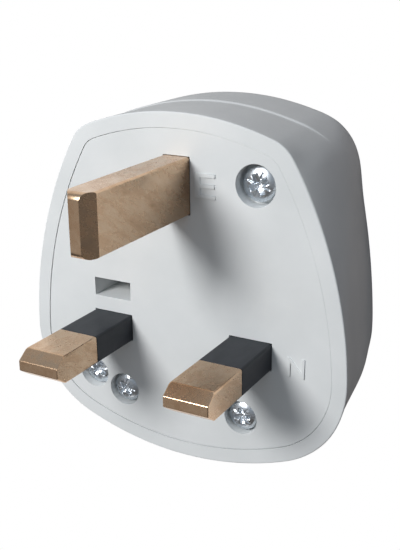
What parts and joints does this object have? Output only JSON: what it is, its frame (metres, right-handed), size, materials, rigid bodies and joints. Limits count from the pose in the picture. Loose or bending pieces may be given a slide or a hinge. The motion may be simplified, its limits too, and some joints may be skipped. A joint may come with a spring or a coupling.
{
  "type": "uk three pin plug",
  "caption": "Rewirable fused mains plug with rectangular pins, a tapered white cover, a let-in base plate, sunk screws and a round cord inlet.",
  "frame": {"origin": "under the middle of the body, in the plane of its flat back", "axes": "+Z along the pins, +Y towards the earth pin, +X towards the neutral pin"},
  "size_m": [0.0502, 0.0508, 0.0427],
  "materials": {
    "body_plastic": "satin",
    "pin_brass": "satin",
    "sleeve_plastic": "satin",
    "clip_bronze": "satin",
    "fuse_ceramic": "gloss",
    "fuse_cap_plate": "satin",
    "terminal_screw_brass": "satin",
    "clamp_fibre": "matte",
    "screw_zinc": "satin",
    "insert_brass": "satin"
  },
  "bodies": {
    "root": {"cover": "body_plastic", "base": "body_plastic", "earth_pin": "pin_brass", "neutral_pin": "pin_brass", "live_pin": "pin_brass", "neutral_pin_sleeve": "sleeve_plastic", "live_pin_sleeve": "sleeve_plastic", "live_pin_fuse_clip": "clip_bronze", "live_terminal_fuse_clip": "clip_bronze", "live_terminal": "pin_brass", "fuse_body": "fuse_ceramic", "fuse_cap_pin_end": "fuse_cap_plate", "fuse_cap_terminal_end": "fuse_cap_plate", "earth_terminal_screw": "terminal_screw_brass", "neutral_terminal_screw": "terminal_screw_brass", "live_terminal_screw": "terminal_screw_brass", "cord_clamp_bar": "clamp_fibre", "cord_clamp_screw_left": "screw_zinc", "cord_clamp_screw_right": "screw_zinc", "cover_screw_upper": "screw_zinc", "cover_screw_lower": "screw_zinc", "cover_insert_upper": "insert_brass", "cover_insert_lower": "insert_brass"}
  },
  "joints": []
}
